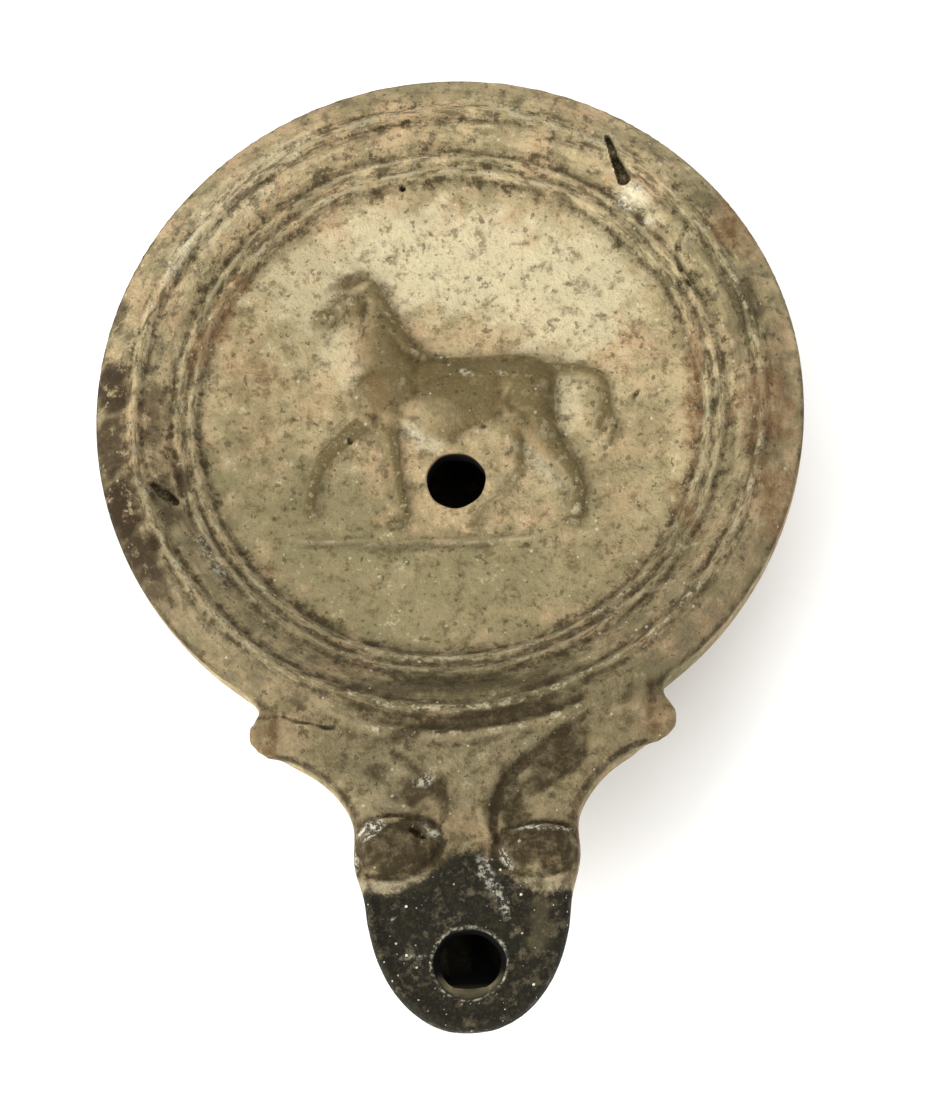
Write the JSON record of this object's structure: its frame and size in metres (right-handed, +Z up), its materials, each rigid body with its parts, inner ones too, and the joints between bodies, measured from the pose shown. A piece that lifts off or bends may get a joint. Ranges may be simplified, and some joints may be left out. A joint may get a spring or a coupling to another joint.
{
  "type": "oil lamp",
  "caption": "Round closed clay oil lamp with ringed shoulder, sunken discus with a walking horse in relief, filling hole, and a volute nozzle with a wick hole.",
  "frame": {"origin": "centre of the flat base's underside, on the axis of the round body", "axes": "+Z up; -Y along the nozzle, from the body to its tip; +X to the right with the nozzle towards the viewer, the way the horse's tail points"},
  "size_m": [0.082, 0.1163, 0.027],
  "materials": {
    "fired_clay": "matt unglazed buff clay, worn, with soot on the wick pad"
  },
  "bodies": {
    "root": {"lamp": "fired_clay"}
  },
  "joints": []
}
